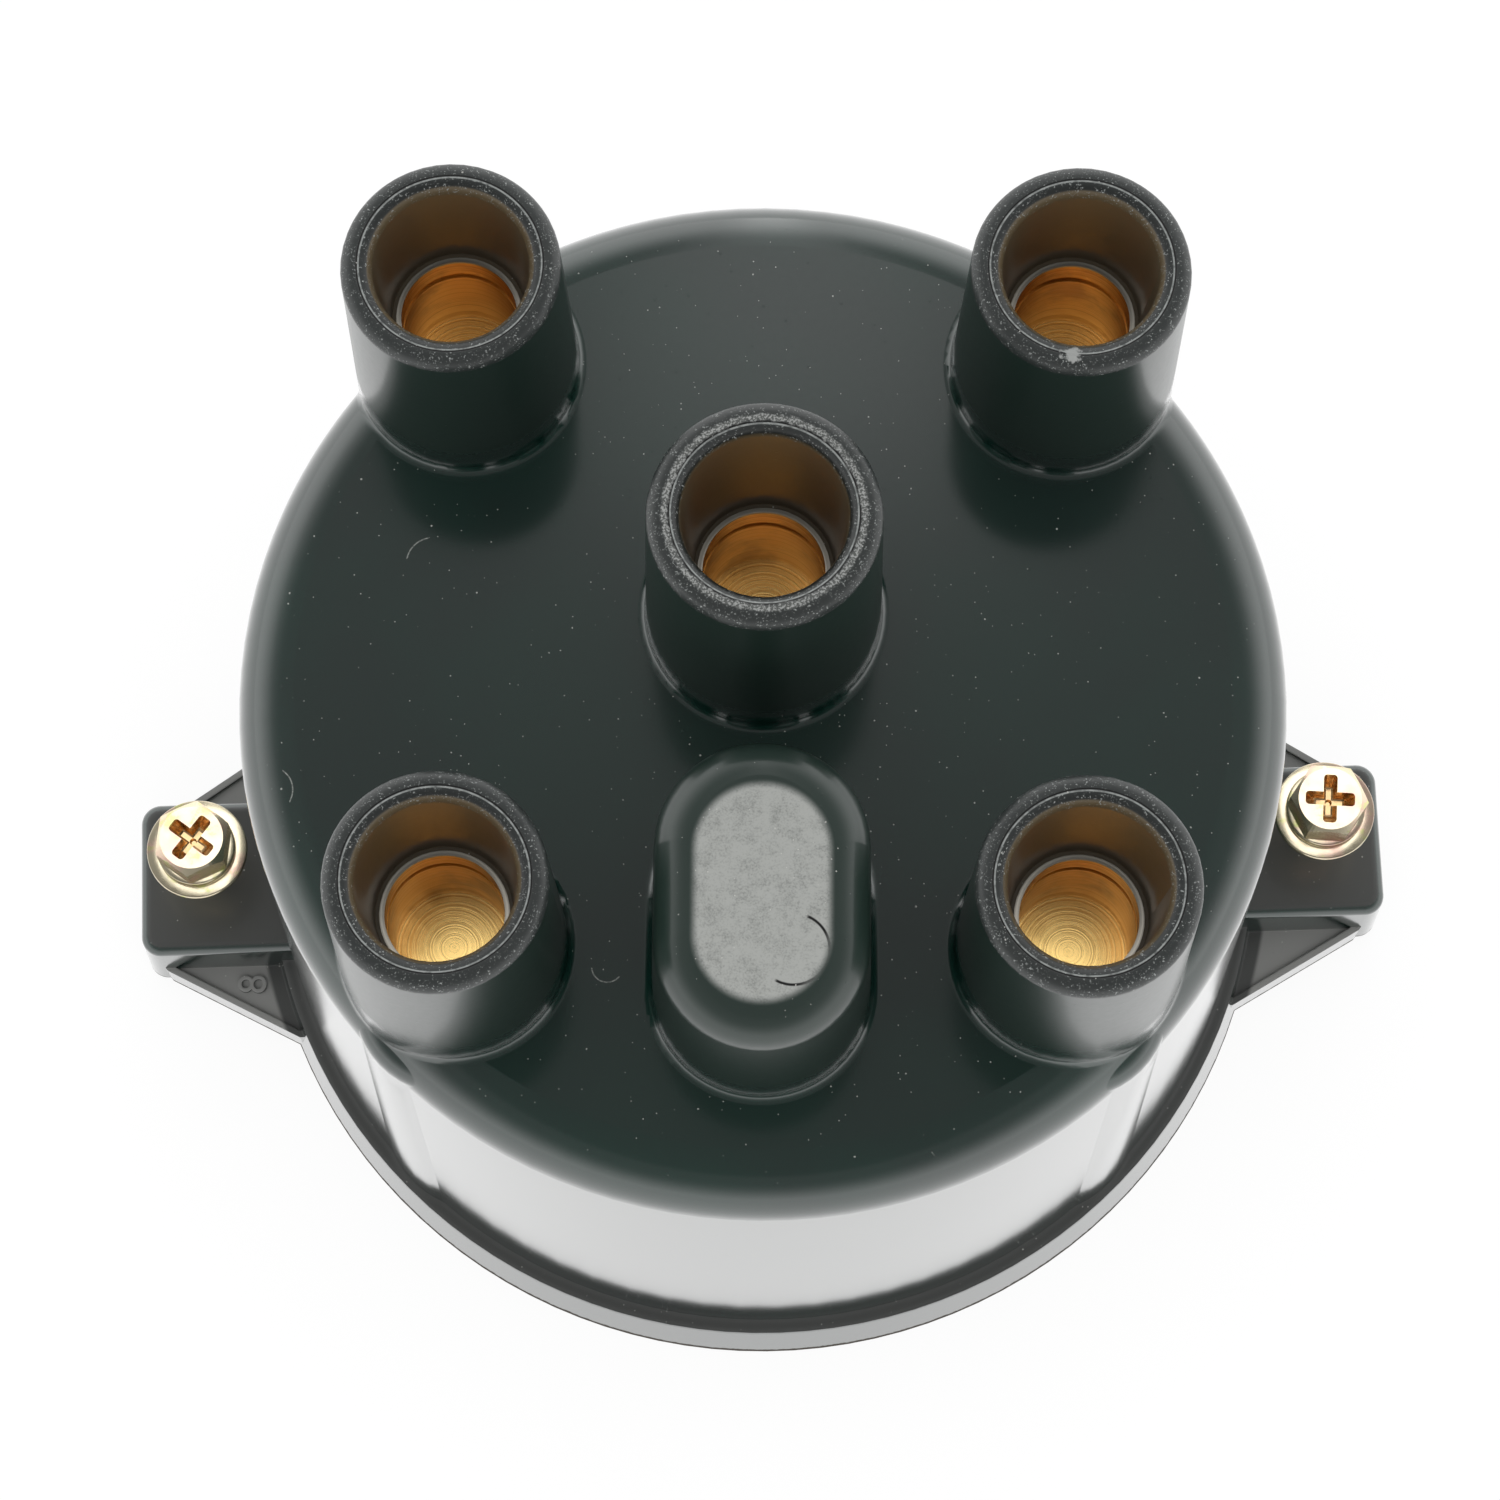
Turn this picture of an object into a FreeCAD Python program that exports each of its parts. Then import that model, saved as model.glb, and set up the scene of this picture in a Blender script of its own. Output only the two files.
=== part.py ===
import FreeCAD, Part
import Sketcher
import math
import os

os.makedirs("parts", exist_ok=True)
doc = FreeCAD.newDocument("distributor_cap")
sheet = doc.addObject("Spreadsheet::Sheet", "Sizes")

sizes = {
    # Body shell, millimetres, z up from the seating face
    "TopHeight": 72.0,
    "ShoulderRadius": 52.3,
    "WallFootRadius": 54.1,
    "ShoulderRound": 6.0,
    "WallThickness": 3.4,
    "RoofThickness": 3.5,
    "InnerRound": 3.0,
    "FlangeRadius": 56.5,
    "FlangeTopRadius": 55.4,
    "FlangeHeight": 7.0,
    "RegisterRadius": 52.0,
    "RegisterDepth": 4.0,

    # Towers
    "TowerSpacing": 60.0,
    "TowerShift": 3.5,
    "TowerRise": 28.0,
    "TowerTopRadius": 10.5,
    "TowerFootRadius": 11.3,
    "TowerRimRound": 1.4,
    "TowerLeadRound": 1.4,
    "TowerFootRound": 0.8,
    "TowerBoreMouth": 7.6,
    "TowerBoreFoot": 6.6,
    "CentreShift": 7.6,
    "CentreRise": 32.0,
    "CentreTopRadius": 11.05,
    "CentreFootRadius": 11.75,
    "CentreBoreMouth": 7.95,
    "CentreBoreFoot": 6.85,
    "PilasterRadius": 11.3,
    "PilasterReach": 0.55,
    "PilasterDrop": 2.2,
    "PilasterRound": 2.6,
    "PilasterAngle": 45.3,

    # Rounded hump in front of the centre tower
    "HumpHeight": 24.5,
    "HumpWidth": 21.4,
    "HumpLength": 30.4,
    "HumpShift": 26.2,
    "HumpTaper": 1.4,
    "HumpRound": 4.0,
    "HumpWall": 3.2,

    # Ears with the hold-down screws
    "EarAngle": 2.4,
    "EarShift": 3.0,
    "EarReach": 69.2,
    "EarWidth": 17.2,
    "EarHeight": 12.0,
    "EarRound": 1.3,
    "EarCornerRound": 2.2,
    "EarHoleRadius": 2.8,
    "EarHoleReach": 61.9,
    "EarHoleShift": 1.0,
    "WebThickness": 4.7,
    "WebRimHeight": 5.2,
    "WebRimWidth": 0.8,
    "WebFrontReach": 16.7,
    "WebRearReach": 18.2,
    "WebOuterReach": 69.4,
    "WebCorner": 2.4,

    # Terminals
    "SleeveRise": 13.5,
    "SleeveSink": 1.5,
    "SleeveRadius": 6.2,
    "CentreSleeveRadius": 6.45,
    "SleeveWall": 0.5,
    "GrooveDrop": 3.0,
    "GrooveWidth": 1.2,
    "GrooveDepth": 0.25,
    "HeadThickness": 3.6,
    "StemRadius": 2.6,
    "ContactLength": 6.0,
    "ContactRadius": 3.4,
    "InnerBossRadius": 7.0,
    "InnerBossDrop": 14.0,

    # Centre brush
    "BrushShift": 3.5,
    "BrushRadius": 2.4,
    "BrushClearance": 0.08,
    "BrushLength": 9.0,
    "BrushStandout": 3.0,
    "BrushBossRadius": 5.6,
    "BrushBossDrop": 15.0,
    "SpringWire": 0.25,
    "SpringRadius": 1.7,
    "SpringTurns": 5.0,

    # Screws and washers
    "ScrewRadius": 2.4,
    "HexAcross": 7.4,
    "HexHeight": 3.9,
    "RecessRadius": 2.3,
    "RecessWidth": 1.25,
    "RecessDepth": 2.0,
    "WasherUnderside": 20.0,
    "WasherThickness": 1.0,
    "WasherRadius": 5.5,
    "WasherHole": 2.7,
    "LockThickness": 1.3,
    "LockRadius": 4.3,
    "LockGap": 0.8,
}

# Heights of the towers and sleeves, which stand on the roof
heights = {
    "TowerTop": "=TopHeight + TowerRise",
    "CentreTop": "=TopHeight + CentreRise",
    "SleeveTop": "=TopHeight + SleeveRise",
    "SleeveFoot": "=TopHeight - SleeveSink",
}
cells = {**sizes, **heights}
for row, name in enumerate(cells, start=1):
    sheet.set("A%d" % row, name)
    sheet.set("B%d" % row, str(cells[name]))
    sheet.setAlias("B%d" % row, name)
doc.recompute()

S = "Sizes."


def bind(obj, **props):
    """Bind properties of an object to sheet expressions."""
    for prop, expression in props.items():
        obj.setExpression(prop, expression)
    return obj


def at(obj, x="0", y="0", z="0"):
    """Place an object by expressions."""
    obj.setExpression("Placement.Base.x", x)
    obj.setExpression("Placement.Base.y", y)
    obj.setExpression("Placement.Base.z", z)
    return obj


def cone(name, r1, r2, height, x="0", y="0", z="0"):
    obj = doc.addObject("Part::Cone", name)
    bind(obj, Radius1=r1, Radius2=r2, Height=height)
    return at(obj, x, y, z)


def cylinder(name, radius, height, x="0", y="0", z="0"):
    obj = doc.addObject("Part::Cylinder", name)
    bind(obj, Radius=radius, Height=height)
    return at(obj, x, y, z)


def box(name, length, width, height, x, y, z):
    obj = doc.addObject("Part::Box", name)
    bind(obj, Length=length, Width=width, Height=height)
    return at(obj, x, y, z)


def fuse(name, parts):
    obj = doc.addObject("Part::MultiFuse", name)
    obj.Shapes = parts
    obj.Refine = True
    return obj


def cut(name, base, tool):
    obj = doc.addObject("Part::Cut", name)
    obj.Base = base
    obj.Tool = tool
    return obj


def turned(obj, degrees):
    """Turn an object about the z axis through the frame's origin."""
    obj.setExpression("Placement.Rotation.Angle", degrees)
    return obj


def rounded(name, base, radius, test):
    """Round every edge of the base that the test picks."""
    doc.recompute()
    value = float(sheet.get(radius))
    picked = []
    for number, edge in enumerate(base.Shape.Edges):
        if edge.Degenerated:
            continue
        if test(edge):
            picked.append((number + 1, value, value))
    obj = doc.addObject("Part::Fillet", name)
    obj.Base = base
    obj.Edges = picked
    doc.recompute()
    return obj


def is_circle(edge, radius, height, centre=None):
    curve = edge.Curve
    if not isinstance(curve, Part.Circle):
        return False
    if abs(curve.Radius - radius) > 0.02 or abs(curve.Center.z - height) > 0.02:
        return False
    if centre is None:
        return True
    return abs(curve.Center.x - centre[0]) < 0.02 and abs(curve.Center.y - centre[1]) < 0.02


def num(name):
    return float(sheet.get(name))


# Dome with its rounded shoulder
dome = cone("dome", S + "WallFootRadius", S + "ShoulderRadius", S + "TopHeight")
dome_round = rounded("dome_round", dome, "ShoulderRound",
                     lambda e: is_circle(e, num("ShoulderRadius"), num("TopHeight")))
flange = cone("flange", S + "FlangeRadius", S + "FlangeTopRadius", S + "FlangeHeight")

# Pilasters that carry the outer towers down the wall
def at_pilaster_top(edge):
    level = num("TopHeight") - num("PilasterDrop")
    return not edge.Degenerated and edge.BoundBox.ZMin > level - 0.02 and edge.Length > num("PilasterRadius")


towers = {}
pilasters = []
corner = [("rear_left", -1, 1), ("rear_right", 1, 1), ("front_left", -1, -1), ("front_right", 1, -1)]
for key, sx, sy in corner:
    tx = "%d * Sizes.TowerSpacing / 2" % sx
    ty = "%d * Sizes.TowerSpacing / 2 + Sizes.TowerShift" % sy
    towers[key] = (tx, ty, sx * num("TowerSpacing") / 2, sy * num("TowerSpacing") / 2 + num("TowerShift"))
    if sy > 0:
        pil = cylinder("pilaster_" + key, S + "TowerFootRadius - 0.4", S + "TopHeight - Sizes.ShoulderRound - Sizes.FlangeHeight / 2",
                       tx, ty, "Sizes.FlangeHeight / 2")
    else:
        axis = "(Sizes.WallFootRadius + Sizes.PilasterReach - Sizes.PilasterRadius)"
        height = "Sizes.TopHeight - Sizes.PilasterDrop - Sizes.FlangeHeight / 2"
        pil = cone("pilaster_" + key, S + "PilasterRadius",
                   "Sizes.PilasterRadius - (Sizes.WallFootRadius - Sizes.ShoulderRadius)", height,
                   "%d * %s * cos(Sizes.PilasterAngle * 1 deg)" % (sx, axis),
                   "%d * %s * sin(Sizes.PilasterAngle * 1 deg)" % (sy, axis),
                   "Sizes.FlangeHeight / 2")
        doc.recompute()
        pil = rounded("pilaster_round_" + key, pil, "PilasterRound", at_pilaster_top)
    pilasters.append(pil)

# Towers as drafted cones
tower_cones = []
for key, (tx, ty, px, py) in towers.items():
    foot = "Sizes.TopHeight - Sizes.ShoulderRound"
    t = cone("tower_" + key, S + "TowerFootRadius + 0.1", S + "TowerTopRadius",
             "Sizes.TowerTop - (%s)" % foot, tx, ty, foot)
    doc.recompute()
    t = rounded("tower_rim_" + key, t, "TowerRimRound",
                lambda e: is_circle(e, num("TowerTopRadius"), num("TowerTop")))
    tower_cones.append(t)
t = cone("tower_centre", S + "CentreFootRadius", S + "CentreTopRadius",
         "Sizes.CentreTop - Sizes.TopHeight + Sizes.RoofThickness / 2", "0", S + "CentreShift",
         "Sizes.TopHeight - Sizes.RoofThickness / 2")
t = rounded("tower_rim_centre", t, "TowerRimRound",
            lambda e: is_circle(e, num("CentreTopRadius"), num("CentreTop")))
tower_cones.append(t)


def obround(name, half_width, half_run, centre_y):
    """Sketch of two half circles and two lines, bound to the sheet."""
    sk = doc.addObject("Sketcher::SketchObject", name)
    w, r, c = 10.0, 5.0, 0.0
    sk.addGeometry(Part.LineSegment(FreeCAD.Vector(w, -r, 0), FreeCAD.Vector(w, r, 0)), False)
    sk.addGeometry(Part.ArcOfCircle(Part.Circle(FreeCAD.Vector(0, r, 0), FreeCAD.Vector(0, 0, 1), w), 0, math.pi), False)
    sk.addGeometry(Part.LineSegment(FreeCAD.Vector(-w, r, 0), FreeCAD.Vector(-w, -r, 0)), False)
    sk.addGeometry(Part.ArcOfCircle(Part.Circle(FreeCAD.Vector(0, -r, 0), FreeCAD.Vector(0, 0, 1), w), math.pi, 2 * math.pi), False)
    sk.addConstraint(Sketcher.Constraint("Tangent", 0, 2, 1, 1))
    sk.addConstraint(Sketcher.Constraint("Tangent", 1, 2, 2, 1))
    sk.addConstraint(Sketcher.Constraint("Tangent", 2, 2, 3, 1))
    sk.addConstraint(Sketcher.Constraint("Tangent", 3, 2, 0, 1))
    sk.addConstraint(Sketcher.Constraint("Vertical", 0))
    sk.addConstraint(Sketcher.Constraint("PointOnObject", 1, 3, -2))
    sk.addConstraint(Sketcher.Constraint("Symmetric", 1, 3, 3, 3, -1, 1))
    i = sk.addConstraint(Sketcher.Constraint("Radius", 1, w))
    sk.renameConstraint(i, "HalfWidth")
    sk.setExpression("Constraints.HalfWidth", half_width)
    i = sk.addConstraint(Sketcher.Constraint("DistanceY", -1, 1, 1, 3, r))
    sk.renameConstraint(i, "HalfRun")
    sk.setExpression("Constraints.HalfRun", half_run)
    sk.setExpression("Placement.Base.y", centre_y)
    return sk


def drafted(name, sketch, height, z):
    """Extrude a sketch upwards with a draft on its sides."""
    obj = doc.addObject("Part::Extrusion", name)
    obj.Base = sketch
    obj.DirMode = "Custom"
    obj.Dir = FreeCAD.Vector(0, 0, 1)
    obj.Solid = True
    bind(obj, LengthFwd=height)
    obj.setExpression("TaperAngle", "-Sizes.HumpTaper")
    sketch.setExpression("Placement.Base.z", z)
    return obj


# Hump, drawn from its foot up
hump_sketch = obround("hump_sketch", "Sizes.HumpWidth / 2", "Sizes.HumpLength / 2 - Sizes.HumpWidth / 2",
                      "-Sizes.HumpShift")
hump = drafted("hump", hump_sketch, "Sizes.HumpHeight + Sizes.RoofThickness / 2",
               "Sizes.TopHeight - Sizes.RoofThickness / 2")
doc.recompute()
hump_top = num("TopHeight") + num("HumpHeight")
hump_round = rounded("hump_round", hump, "HumpRound",
                     lambda e: abs(e.BoundBox.ZMin - hump_top) < 0.02 and abs(e.BoundBox.ZMax - hump_top) < 0.02)

outer = fuse("outer", [dome_round, flange] + pilasters + tower_cones + [hump_round])
doc.recompute()


def near_axis(edge, cx, cy, radius, z_low, z_high):
    """True when the whole edge runs round an axis at about one radius."""
    if edge.BoundBox.ZMin < z_low or edge.BoundBox.ZMax > z_high:
        return False
    for point in edge.discretize(9):
        if abs(math.hypot(point.x - cx, point.y - cy) - radius) > 0.45:
            return False
    return True


def tower_foot(edge):
    low = num("TopHeight") - num("ShoulderRound") + 0.05
    high = num("TopHeight") + 0.01
    if near_axis(edge, 0, num("CentreShift"), num("CentreFootRadius"), low, high):
        return True
    return any(near_axis(edge, px, py, num("TowerFootRadius"), low, high)
               for tx, ty, px, py in towers.values())


def hump_foot(edge):
    bounds = edge.BoundBox
    if abs(bounds.ZMin - num("TopHeight")) > 0.02 or abs(bounds.ZMax - num("TopHeight")) > 0.02:
        return False
    half = num("HumpWidth") / 2 + 1
    centre = -num("HumpShift")
    run = num("HumpLength") / 2 + 1
    return bounds.XMax < half and bounds.XMin > -half and bounds.YMax < centre + run and \
        bounds.YMin > centre - run


outer_round = rounded("outer_round", outer, "TowerFootRound", lambda e: tower_foot(e) or hump_foot(e))

# Rotor space, with the register step at its mouth
cavity = cone("cavity", S + "WallFootRadius - Sizes.WallThickness", S + "ShoulderRadius - Sizes.WallThickness",
              S + "TopHeight - Sizes.RoofThickness")
roof_radius = num("ShoulderRadius") - num("WallThickness")
roof_height = num("TopHeight") - num("RoofThickness")
cavity_round = rounded("cavity_round", cavity, "InnerRound",
                       lambda e: is_circle(e, roof_radius, roof_height))
register = cylinder("register", S + "RegisterRadius", S + "RegisterDepth")
core_sketch = obround("core_sketch", "Sizes.HumpWidth / 2 - Sizes.HumpWall",
                      "Sizes.HumpLength / 2 - Sizes.HumpWidth / 2", "-Sizes.HumpShift")
hump_core = drafted("hump_core", core_sketch, "Sizes.HumpHeight + Sizes.RoofThickness - Sizes.HumpWall + 1",
                    "Sizes.TopHeight - Sizes.RoofThickness - 1")
hollow = fuse("hollow", [cavity_round, register, hump_core])


def polygon(name, points):
    """Closed sketch outline whose corners follow sheet expressions."""
    sk = doc.addObject("Sketcher::SketchObject", name)
    doc.recompute()
    ends = []
    for px, py in points:
        ends.append(FreeCAD.Vector(float(probe(px)), float(probe(py)), 0))
    count = len(ends)
    for i in range(count):
        sk.addGeometry(Part.LineSegment(ends[i], ends[(i + 1) % count]), False)
    for i in range(count):
        sk.addConstraint(Sketcher.Constraint("Coincident", i, 2, (i + 1) % count, 1))
    for i, (px, py) in enumerate(points):
        for axis, text, value in (("X", px, ends[i].x), ("Y", py, ends[i].y)):
            c = sk.addConstraint(Sketcher.Constraint("Distance" + axis, -1, 1, i, 1, value))
            sk.renameConstraint(c, "P%d%s" % (i, axis))
            sk.setExpression("Constraints.P%d%s" % (i, axis), text)
    return sk


def probe(text):
    """Value of a sheet expression at the present sizes."""
    return sheet.evalExpression(text.replace("Sizes.", ""))


def straight(name, sketch, height, z):
    obj = doc.addObject("Part::Extrusion", name)
    obj.Base = sketch
    obj.DirMode = "Custom"
    obj.Dir = FreeCAD.Vector(0, 0, 1)
    obj.Solid = True
    bind(obj, LengthFwd=height)
    sketch.setExpression("Placement.Base.z", z)
    return obj


# Ears: a raised block on a low web with a rim, drawn square and then turned
def web_outline(inset):
    """Corners of the web on both sides, moved in by an inset."""
    right = [("Sizes.ShoulderRadius", "Sizes.WebRearReach - %s" % inset),
             ("Sizes.WebOuterReach - Sizes.WebCorner - %s" % inset, "Sizes.EarWidth / 2 - %s / 2" % inset),
             ("Sizes.WebOuterReach - Sizes.WebCorner - %s" % inset, "0"),
             ("Sizes.WebOuterReach - %s" % inset, "0"),
             ("Sizes.WebOuterReach - %s" % inset, "-Sizes.EarWidth / 2 + Sizes.WebCorner"),
             ("Sizes.WebOuterReach - Sizes.WebCorner - %s" % inset, "-Sizes.EarWidth / 2 - 0.5 + %s / 2" % inset),
             ("Sizes.ShoulderRadius", "-Sizes.WebFrontReach - 0.5 + %s" % inset)]
    left = [("-(%s)" % x, y) for x, y in reversed(right)]
    return right + left


web_sketch = polygon("web_sketch", web_outline("0"))
web = straight("web", web_sketch, "Sizes.WebRimHeight", "0")
tray_sketch = polygon("tray_sketch", web_outline("Sizes.WebRimWidth"))
tray = straight("tray", tray_sketch, "Sizes.WebRimHeight", "Sizes.WebThickness")
web_cut = cut("web_cut", web, tray)
block = doc.addObject("Part::Wedge", "block")
bind(block, Xmin="-Sizes.EarReach - 0.4", Xmax="Sizes.EarReach + 0.4", X2min="-Sizes.EarReach",
     X2max="Sizes.EarReach", Ymin="0.5", Ymax="Sizes.EarHeight", Zmin="-Sizes.EarWidth / 2 - 0.2",
     Zmax="Sizes.EarWidth / 2 + 0.2", Z2min="-Sizes.EarWidth / 2", Z2max="Sizes.EarWidth / 2")
block.Placement.Rotation = FreeCAD.Rotation(FreeCAD.Vector(1, 0, 0), 90)
doc.recompute()


def upright_edge(edge):
    bounds = edge.BoundBox
    return bounds.ZLength > num("EarHeight") / 2


def block_edge(edge):
    return abs(edge.BoundBox.ZMin - num("EarHeight")) < 0.02


block_corners = rounded("block_corners", block, "EarCornerRound", upright_edge)
doc.recompute()
block_round = rounded("block_round", block_corners, "EarRound", block_edge)
ear_solid = fuse("ear_solid", [web_cut, block_round])
ear_holes = fuse("ear_holes", [
    cylinder("ear_hole_left", S + "EarHoleRadius", S + "EarHeight", "-Sizes.EarHoleReach", S + "EarHoleShift"),
    cylinder("ear_hole_right", S + "EarHoleRadius", S + "EarHeight", S + "EarHoleReach", S + "EarHoleShift")])
ears = cut("ears", ear_solid, ear_holes)
ears.Placement.Rotation = FreeCAD.Rotation(FreeCAD.Vector(0, 0, 1), 1)
turned(ears, "Sizes.EarAngle")
ears.setExpression("Placement.Base.y", "-Sizes.EarShift")

shell_solid = fuse("shell_solid", [outer_round, ears])
shell_open = cut("shell_open", shell_solid, hollow)

# Bosses inside, under each tower and round the brush
boss_foot = "Sizes.TopHeight - Sizes.RoofThickness - Sizes.InnerBossDrop"
bosses = []
for key, (tx, ty, px, py) in towers.items():
    bosses.append(cylinder("boss_" + key, S + "InnerBossRadius", "Sizes.InnerBossDrop + Sizes.RoofThickness / 2",
                           tx, ty, boss_foot))
bosses.append(cylinder("boss_brush", S + "BrushBossRadius", "Sizes.BrushBossDrop + Sizes.RoofThickness / 2", "0",
                       S + "BrushShift", "Sizes.TopHeight - Sizes.RoofThickness - Sizes.BrushBossDrop"))
bosses.append(cylinder("boss_centre", S + "CentreSleeveRadius + 2", "Sizes.RoofThickness * 2", "0",
                       S + "CentreShift", "Sizes.TopHeight - Sizes.RoofThickness * 2"))
shell_bossed = fuse("shell_bossed", [shell_open] + bosses)

# Bores for the terminals and the brush
head_foot = "Sizes.SleeveFoot - Sizes.HeadThickness"
bores = []
for key, (tx, ty, px, py) in towers.items():
    bores.append(cone("bore_" + key, S + "TowerBoreFoot", S + "TowerBoreMouth",
                      "Sizes.TowerTop - Sizes.SleeveTop", tx, ty, S + "SleeveTop"))
    bores.append(cylinder("pocket_" + key, S + "SleeveRadius", "Sizes.SleeveTop - (%s)" % head_foot, tx, ty, head_foot))
    bores.append(cylinder("stem_hole_" + key, S + "StemRadius", "%s - (%s)" % (head_foot, boss_foot), tx, ty,
                          boss_foot))
bores.append(cone("bore_centre", S + "CentreBoreFoot", S + "CentreBoreMouth", "Sizes.CentreTop - Sizes.SleeveTop",
                  "0", S + "CentreShift", S + "SleeveTop"))
bores.append(cylinder("pocket_centre", S + "CentreSleeveRadius", "Sizes.SleeveTop - (%s)" % head_foot, "0",
                      S + "CentreShift", head_foot))
bores.append(cylinder("brush_hole", S + "BrushRadius + Sizes.BrushClearance",
                      "Sizes.BrushBossDrop + Sizes.RoofThickness", "0", S + "BrushShift",
                      "Sizes.TopHeight - Sizes.RoofThickness - Sizes.BrushBossDrop"))
bores[-1].setExpression("Height", "%s - (Sizes.TopHeight - Sizes.RoofThickness - Sizes.BrushBossDrop)" % head_foot)
all_bores = fuse("all_bores", bores)
shell_bored = cut("shell_bored", shell_bossed, all_bores)
doc.recompute()


def bore_mouth(edge):
    if is_circle(edge, num("CentreBoreMouth"), num("CentreTop")):
        return True
    return is_circle(edge, num("TowerBoreMouth"), num("TowerTop"))


cap_body = rounded("cap_body", shell_bored, "TowerLeadRound", bore_mouth)

nodes = {"cap_body": cap_body}


def ring(name, outer_radius, inner_radius, height, x, y, z):
    """Plain tube from two cylinders."""
    return cut(name, cylinder(name + "_outside", outer_radius, height, x, y, z),
               cylinder(name + "_inside", inner_radius, height, x, y, z))


# Brass sleeves with a snap groove
def sleeve(name, radius, x, y):
    tube = ring(name + "_tube", radius, radius + " - Sizes.SleeveWall", "Sizes.SleeveTop - Sizes.SleeveFoot",
                x, y, "Sizes.SleeveFoot")
    groove = cylinder(name + "_groove", radius + " - Sizes.SleeveWall + Sizes.GrooveDepth", "Sizes.GrooveWidth",
                      x, y, "Sizes.SleeveTop - Sizes.GrooveDrop - Sizes.GrooveWidth")
    nodes[name] = cut(name, tube, groove)


# Turned electrodes: head under the sleeve, stem through the boss, contact inside
def electrode(name, x, y):
    head = cylinder(name + "_head", S + "SleeveRadius", "Sizes.HeadThickness", x, y, head_foot)
    stem = cylinder(name + "_stem", S + "StemRadius", "%s - (%s)" % (head_foot, boss_foot), x, y, boss_foot)
    tip = cylinder(name + "_tip", S + "ContactRadius", "Sizes.ContactLength", x, y,
                   "%s - Sizes.ContactLength" % boss_foot)
    nodes[name] = fuse(name, [head, stem, tip])


for key, (tx, ty, px, py) in towers.items():
    sleeve("sleeve_" + key, "Sizes.SleeveRadius", tx, ty)
    electrode("electrode_" + key, tx, ty)
sleeve("sleeve_centre", "Sizes.CentreSleeveRadius", "0", "Sizes.CentreShift")
nodes["centre_contact"] = cylinder("centre_contact", S + "CentreSleeveRadius", "Sizes.HeadThickness", "0",
                                   S + "CentreShift", head_foot)

# Carbon brush and the spring that presses it down
brush_foot = "Sizes.TopHeight - Sizes.RoofThickness - Sizes.BrushBossDrop - Sizes.BrushStandout"
nodes["carbon_brush"] = cylinder("carbon_brush", S + "BrushRadius", "Sizes.BrushLength", "0", S + "BrushShift",
                                 brush_foot)
spring_length = "%s - (%s) - Sizes.BrushLength - Sizes.SpringWire * 2" % (head_foot, brush_foot)
helix = doc.addObject("Part::Helix", "spring_path")
bind(helix, Pitch="(%s) / Sizes.SpringTurns" % spring_length, Height=spring_length, Radius=S + "SpringRadius")
at(helix, "0", "0", "0")
wire = doc.addObject("Part::Circle", "spring_wire")
bind(wire, Radius=S + "SpringWire")
wire.Placement.Rotation = FreeCAD.Rotation(FreeCAD.Vector(1, 0, 0), 90)
wire.setExpression("Placement.Base.x", "Sizes.SpringRadius")
spring = doc.addObject("Part::Sweep", "brush_spring")
spring.Sections = [wire]
spring.Spine = (helix, ["Edge1"])
spring.Solid = True
spring.Frenet = True
at(spring, "0", "Sizes.BrushShift", "%s + Sizes.BrushLength + Sizes.SpringWire" % brush_foot)
nodes["brush_spring"] = spring


# Hex-head cross-recess screws with a spring washer and a flat washer, drawn in the ears' frame
def in_ears(obj, centre_x):
    obj.Placement.Rotation = FreeCAD.Rotation(FreeCAD.Vector(0, 0, 1), 1)
    turned(obj, "Sizes.EarAngle")
    obj.setExpression("Placement.Base.y", "-Sizes.EarShift")
    return obj


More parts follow.
